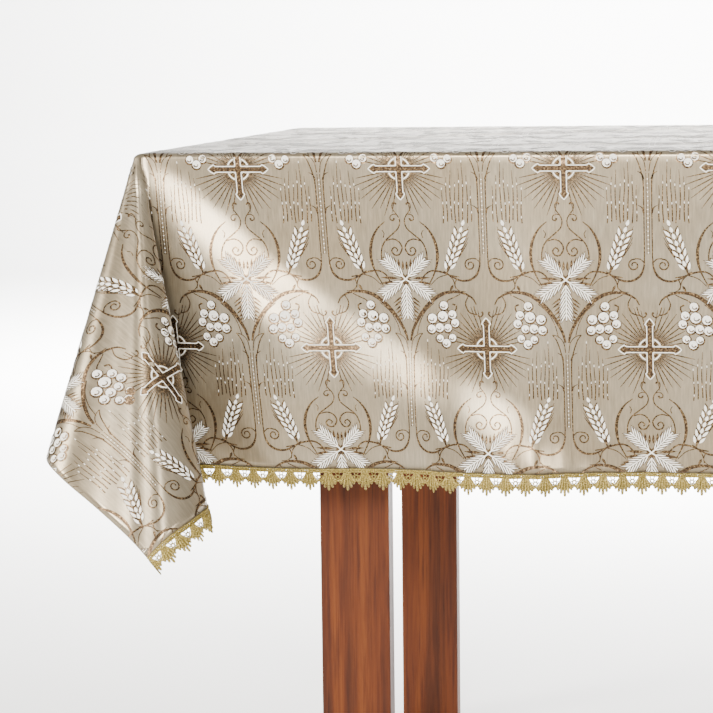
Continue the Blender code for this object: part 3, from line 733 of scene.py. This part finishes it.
# White silk: loose, matt floats with a faint grain along the thread, drawn at 1 to 4 mm.
silk, tree, shader = finish_of("white silk thread")
uv = node(tree, "ShaderNodeUVMap", uv_map="cloth").outputs["UV"]
stretched = node(tree, "ShaderNodeMapping", [("Vector", uv)], in_Scale=(260, 900, 1)).outputs[0]
floats = node(tree, "ShaderNodeTexNoise", [("Vector", stretched)], in_Scale=1.0, in_Detail=3.0)
shade = node(
    tree, "ShaderNodeValToRGB", [("Fac", floats.outputs["Fac"])],
    stops=((0.25, "DAD3C6"), (0.6, "FBF7EE")),
)
tree.links.new(shade.outputs["Color"], shader.inputs["Base Color"])
shader.inputs["Roughness"].default_value = 0.5
shader.inputs["Sheen Weight"].default_value = 0.2
raised = node(
    tree, "ShaderNodeBump", [("Height", floats.outputs["Fac"])], in_Strength=0.4, in_Distance=0.0004
)
tree.links.new(raised.outputs["Normal"], shader.inputs["Normal"])

brocade = weave_in(gold, "brocade_gold", GOLD_HEIGHT, gilt)
brocade += weave_in(white, "brocade_white", WHITE_HEIGHT, silk)

# ---- The lace edge ----
# A gold guipure edging, 26 mm deep, sewn under the front hem and on round the folded corner. A braid
# heads it, and in each 23 mm a shell of five looped fingers hangs between two open eyes with a ring.
SHELLS = 89
PITCH = 2 * U_END / SHELLS


def lace_cords():
    """One shell, flat, in mm: points of x from its middle, y below the hem and height, whether they close,
    and the cord's radius at even places."""
    half = PITCH * 500  # half a pitch, in mm
    # The braid: two cords twisted round each other, a wavy one and a straight one below them.
    for sign in (-1, 1):
        yield [
            (x, 0.5 + sign * 0.6 * math.sin(k * math.pi / 2), sign * 0.4 * math.cos(k * math.pi / 2) + 0.5)
            for k, x in enumerate(np.linspace(-half, half, 21))
        ], False, (0.85,)
    wavy = enumerate(np.linspace(-half, half, 15))
    yield [(x, 2.2 + 0.45 * (-1) ** k, 0.1) for k, x in wavy], False, (0.9,)
    yield [(x, 3.6, 0.1) for x in np.linspace(-half, half, 9)], False, (0.95,)
    # Five looped fingers from a narrow root, the middle one lowest, over a web of cross cords.
    FINGERS = (
        # x and y at the root, x and y at the tip
        (0.0, 4.2, 0.0, 25.9), (1.8, 4.2, 4.6, 22.4), (3.2, 4.8, 8.4, 18.6),
    )
    for k, (root_x, root_y, tip_x, tip_y) in enumerate(FINGERS):
        for sign in (-1, 1) if k else (1,):
            root, tip = np.array([sign * root_x, root_y]), np.array([sign * tip_x, tip_y])
            yield [
                (*(root + (tip - root) * t), 0.3 + 0.3 * (k % 2)) for t in (0, 0.3, 0.6, 0.8, 0.94, 1.0)
            ], False, (1.1, 1.6, 1.9, 1.75, 1.6, 0.8)
    for drop, width in ((7.5, 3.8), (10.5, 5.4), (13.5, 6.6), (16.0, 6.0)):
        yield [(width * t, drop + 2.2 * (1 - t * t), 0.0) for t in np.linspace(-1, 1, 7)], False, (1.3,)
    for sign in (-1, 1):
        # The outer cord of the shell, which bounds the open eye, and the loop below it to the next shell.
        outer = ((3.2, 3.8), (4.6, 7.2), (6.6, 10.4), (8.8, 13.0), (half, 14.6))
        yield [(sign * x, y, 0.2) for x, y in outer], False, (1.0, 1.2, 1.3)
        loop = ((7.0, 12.2), (8.8, 14.6), (9.9, 16.2))
        yield [(sign * x, y, 0.1) for x, y in loop], False, (1.2, 1.0)
        yield [(half - sign * 2.1, 9.2, 0), (half - sign * 4.4, 8.0, 0)], False, (0.6,)
        yield [(half - sign * 1.4, 7.8, 0), (half - sign * 2.6, 4.2, 0)], False, (0.55,)
    # The ring in the eye, and the short cord that it hangs on.
    angles = np.linspace(0, 2 * math.pi, 11)[:-1]
    yield [(half + 2.2 * math.cos(a), 9.6 + 2.2 * math.sin(a), 0.1) for a in angles], True, (0.85,)
    yield [(half, 11.6, 0.1), (half, 14.0, 0.1)], False, (1.0,)


lace_line = bpy.data.curves.new("lace", "CURVE")
lace_line.dimensions = "3D"
lace_line.bevel_depth = 1.0
lace_line.bevel_resolution = 0
lace_line.use_fill_caps = True
for points, closed, radii in lace_cords():
    spline = lace_line.splines.new("POLY")
    spline.points.add(len(points) - 1)
    spline.use_cyclic_u = closed
    share = np.interp(np.linspace(0, 1, len(points)), np.linspace(0, 1, len(radii)), radii)
    for point, (x, y, z), radius in zip(spline.points, points, share):
        point.co = (x, -y, z, 1)
        point.radius = radius
shell_curve = bpy.data.objects.new("lace", lace_line)
shell = bpy.data.meshes.new_from_object(shell_curve)
bpy.data.curves.remove(lace_line)
edging = bmesh.new()
for k in range(SHELLS + 1):
    start = len(edging.verts)
    edging.from_mesh(shell)
    edging.verts.ensure_lookup_table()
    added = edging.verts[start:]
    bmesh.ops.scale(edging, vec=(0.001, 0.001, 0.001), verts=added)
    bmesh.ops.translate(edging, vec=(-U_END + k * PITCH, -V_END, 0.0), verts=added)
bpy.data.meshes.remove(shell)
for sign in (-1, 1):
    bmesh.ops.bisect_plane(
        edging, geom=edging.verts[:] + edging.edges[:] + edging.faces[:], clear_outer=True,
        plane_co=(sign * U_END, 0, 0), plane_no=(sign, 0, 0),
    )
layer = edging.loops.layers.uv.new("cloth")
for face in edging.faces:
    for loop in face.loops:
        loop[layer].uv = loop.vert.co.xy
lay_on_altar(edging)

# Gold lurex cord: metal strip round a yellow core, olive gold, with painted glints on its turns and painted
# shade between them. The turns are drawn at 1.4 mm, so that they show.
lurex, tree, shader = finish_of("gold lurex cord")
uv = node(tree, "ShaderNodeUVMap", uv_map="cloth").outputs["UV"]
turns = node(tree, "ShaderNodeTexNoise", [("Vector", uv)], in_Scale=700.0, in_Detail=2.0)
# The cord's olive gold, with painted glints in the palest stop and painted shade in the darkest.
painted_glints_and_shade = node(
    tree, "ShaderNodeValToRGB", [("Fac", turns.outputs["Fac"])],
    stops=((0.34, "55471E"), (0.52, "98843F"), (0.72, "D0BF7E")),
)
tree.links.new(painted_glints_and_shade.outputs["Color"], shader.inputs["Base Color"])
shader.inputs["Metallic"].default_value = 0.5
shader.inputs["Roughness"].default_value = 0.45
wound = node(
    tree, "ShaderNodeBump", [("Height", turns.outputs["Fac"])], in_Strength=0.5, in_Distance=0.0004
)
tree.links.new(wound.outputs["Normal"], shader.inputs["Normal"])
lace = new_piece("lace_edging", edging, lurex)
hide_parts("front_lace")

# ---- The altar table ----
# A plain hardwood table, oiled reddish brown: legs glued up from upright staves, rails between them and a
# board on top. Its joints are dowelled and don't show. Its solids keep their shapes and get this wood.
LEG_STAVE = 0.034


def hardwood(name, along, staves=None):
    """Oiled wood whose grain runs along one axis. staves is the width of its glued staves in metres."""
    made, tree, shader = finish_of(name)
    place = node(tree, "ShaderNodeTexCoord").outputs["Object"]
    stretch = [2.2 if axis == along else 55.0 for axis in "XYZ"]
    drawn = node(tree, "ShaderNodeMapping", [("Vector", place)], in_Scale=stretch).outputs[0]
    grain = node(
        tree, "ShaderNodeTexNoise", [("Vector", drawn)],
        in_Scale=1.0, in_Detail=6.0, in_Roughness=0.62, in_Distortion=0.6,
    )
    stretch = [9.0 if axis == along else 260.0 for axis in "XYZ"]
    drawn = node(tree, "ShaderNodeMapping", [("Vector", place)], in_Scale=stretch).outputs[0]
    pores = node(tree, "ShaderNodeTexNoise", [("Vector", drawn)], in_Scale=1.0, in_Detail=3.0)
    figure = node(
        tree, "ShaderNodeValToRGB", [("Fac", grain.outputs["Fac"])],
        stops=((0.30, "3E1A04"), (0.50, "5E2D0B"), (0.72, "7A4317")),
    )
    streaks = node(
        tree, "ShaderNodeValToRGB", [("Fac", pores.outputs["Fac"])],
        stops=((0.32, "B09A8E"), (0.50, "FFFFFF")),
    )
    worked = node(
        tree, "ShaderNodeMix", data_type="RGBA", blend_type="MULTIPLY", in_0=0.7,
        links=[(6, figure.outputs["Color"]), (7, streaks.outputs["Color"])],
    )
    if staves:
        split = node(tree, "ShaderNodeSeparateXYZ", [("Vector", place)])
        cell = node(tree, "ShaderNodeMath", [(0, split.outputs["X"])], operation="SNAP", in_1=staves)
        tone = node(tree, "ShaderNodeTexWhiteNoise", [("W", cell.outputs[0])], noise_dimensions="1D")
        shade = node(
            tree, "ShaderNodeValToRGB", [("Fac", tone.outputs["Value"])],
            stops=((0.0, "DCCDC4"), (1.0, "FFFFFF")),
        )
        worked = node(
            tree, "ShaderNodeMix", data_type="RGBA", blend_type="MULTIPLY", in_0=1.0,
            links=[(6, worked.outputs[2]), (7, shade.outputs["Color"])],
        )
    tree.links.new(worked.outputs[2], shader.inputs["Base Color"])
    shader.inputs["Specular IOR Level"].default_value = 0.25
    rough = node(
        tree, "ShaderNodeMapRange", [("Value", grain.outputs["Fac"])],
        in_1=0.2, in_2=0.8, in_3=0.60, in_4=0.48,
    )
    tree.links.new(rough.outputs["Result"], shader.inputs["Roughness"])
    open_pores = node(
        tree, "ShaderNodeBump", [("Height", pores.outputs["Fac"])], in_Strength=0.2, in_Distance=0.0006
    )
    tree.links.new(open_pores.outputs["Normal"], shader.inputs["Normal"])
    return made


leg_wood = hardwood("oiled hardwood, upright grain", "Z", staves=LEG_STAVE)
board_wood = hardwood("oiled hardwood, long grain", "X")
side_wood = hardwood("oiled hardwood, cross rails", "Y")
WOODEN = (
    ("leg_front_left", leg_wood), ("leg_front_right", leg_wood), ("leg_back_left", leg_wood),
    ("leg_back_right", leg_wood), ("rail_front", board_wood), ("rail_back", board_wood),
    ("rail_left", side_wood), ("rail_right", side_wood), ("table_top", board_wood),
)
for name, wood in WOODEN:
    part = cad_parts[name]
    part.data.materials.clear()
    part.data.materials.append(wood)

# ---- Studio ----
# A white paper sweep: a floor that turns up into a wall far behind the altar.
paper, tree, shader = finish_of("white background paper")
fibre = node(tree, "ShaderNodeTexNoise", in_Scale=3.0, in_Detail=3.0)
tone = node(
    tree, "ShaderNodeValToRGB", [("Fac", fibre.outputs["Fac"])], stops=((0.3, "F6F5F3"), (0.7, "FAFAF9"))
)
tree.links.new(tone.outputs["Color"], shader.inputs["Base Color"])
shader.inputs["Roughness"].default_value = 0.9
SWEEP_RADIUS, SWEEP_BACK, SWEEP_HALF, SWEEP_TOP = 1.8, 9.5, 14.0, 0.3
PAPER_Z = -0.001
sweep = bmesh.new()
edge = [sweep.verts.new((x, -SWEEP_HALF, PAPER_Z)) for x in (-SWEEP_HALF, SWEEP_HALF)]
edge = [sweep.edges.new(edge)]


def pull(edges, way):
    moved = bmesh.ops.extrude_edge_only(sweep, edges=edges)["geom"]
    bmesh.ops.translate(sweep, vec=way, verts=[p for p in moved if isinstance(p, bmesh.types.BMVert)])
    return [p for p in moved if isinstance(p, bmesh.types.BMEdge)]


edge = pull(edge, (0, SWEEP_HALF + SWEEP_BACK - SWEEP_RADIUS, 0))
turned = bmesh.ops.spin(
    sweep, geom=edge, cent=(0, SWEEP_BACK - SWEEP_RADIUS, SWEEP_RADIUS + PAPER_Z), axis=(1, 0, 0),
    angle=math.pi / 2, steps=16,
)["geom_last"]
edge = [p for p in turned if isinstance(p, bmesh.types.BMEdge)]
pull(edge, (0, 0, SWEEP_TOP))
bmesh.ops.recalc_face_normals(sweep, faces=sweep.faces[:])
mesh = bpy.data.meshes.new("paper_sweep")
sweep.to_mesh(mesh)
sweep.free()
mesh.materials.append(paper)
mesh.polygons.foreach_set("use_smooth", [True] * len(mesh.polygons))
floor = bpy.data.objects.new("paper_sweep", mesh)
bpy.context.scene.collection.objects.link(floor)

# Soft lamps: two before the altar, which draw the band of gloss across its front, one at each side, and
# two behind it that light the paper.
LIGHTS = (
    # name, place, aimed at, size, watts, colour
    ("front_key", (-0.6, -5.4, 2.4), (-0.3, -0.5, 0.75), 0.9, 245.0, "FFFBF4"),
    ("front_right", (0.0, -5.4, 2.4), (-0.3, -0.5, 0.75), 0.9, 72.0, "FFFBF4"),
    ("left_side", (-4.2, -2.6, 2.0), (-0.3, -0.5, 0.75), 1.2, 255.0, "FFFAF0"),
    ("right_side", (3.4, -4.6, 1.6), (-0.4, -0.5, 0.75), 1.4, 195.0, "FFFAF2"),
    ("floor_wash", (0.0, 3.8, 2.7), (0.0, 4.8, 0.0), 3.0, 1900.0, "FFFFFF"),
    ("back_wash", (0.0, 4.8, 3.4), (0.0, 9.5, 0.6), 5.0, 2000.0, "FFFFFF"),
)
for name, place, aim, size, watts, colour in LIGHTS:
    lamp = bpy.data.lights.new(name, "AREA")
    lamp.shape, lamp.size, lamp.energy, lamp.color = "SQUARE", size, watts, linear(colour)[:3]
    holder = bpy.data.objects.new(name, lamp)
    holder.location = place
    holder.rotation_euler = (Vector(aim) - Vector(place)).to_track_quat("-Z", "Y").to_euler()
    bpy.context.scene.collection.objects.link(holder)
world = bpy.data.worlds.new("soft studio air")
bpy.context.scene.world = world
world.use_nodes = True
world.node_tree.nodes["Background"].inputs["Color"].default_value = linear("F5F4F1")
world.node_tree.nodes["Background"].inputs["Strength"].default_value = 0.54

# The camera stands before the middle of the altar and turns to its left end and a little down.
FOCAL_LENGTH = 110.6  # mm, on a picture 36 mm wide
CAMERA_LEFT, CAMERA_DOWN, CAMERA_ROLL = 9.58, 7.63, -0.70  # degrees
lens = bpy.data.cameras.new("camera")
lens.lens = FOCAL_LENGTH
lens.sensor_width = 36.0
lens.clip_end = 100.0
aim = (
    Matrix.Rotation(math.radians(CAMERA_LEFT), 3, "Z")
    @ Matrix.Rotation(math.radians(90 - CAMERA_DOWN), 3, "X")
    @ Matrix.Rotation(math.radians(CAMERA_ROLL), 3, "Z")
)
camera = bpy.data.objects.new("camera", lens)
camera.location = (-0.012, -3.040, 1.053)
camera.rotation_euler = aim.to_euler()
bpy.context.scene.collection.objects.link(camera)
bpy.context.scene.camera = camera
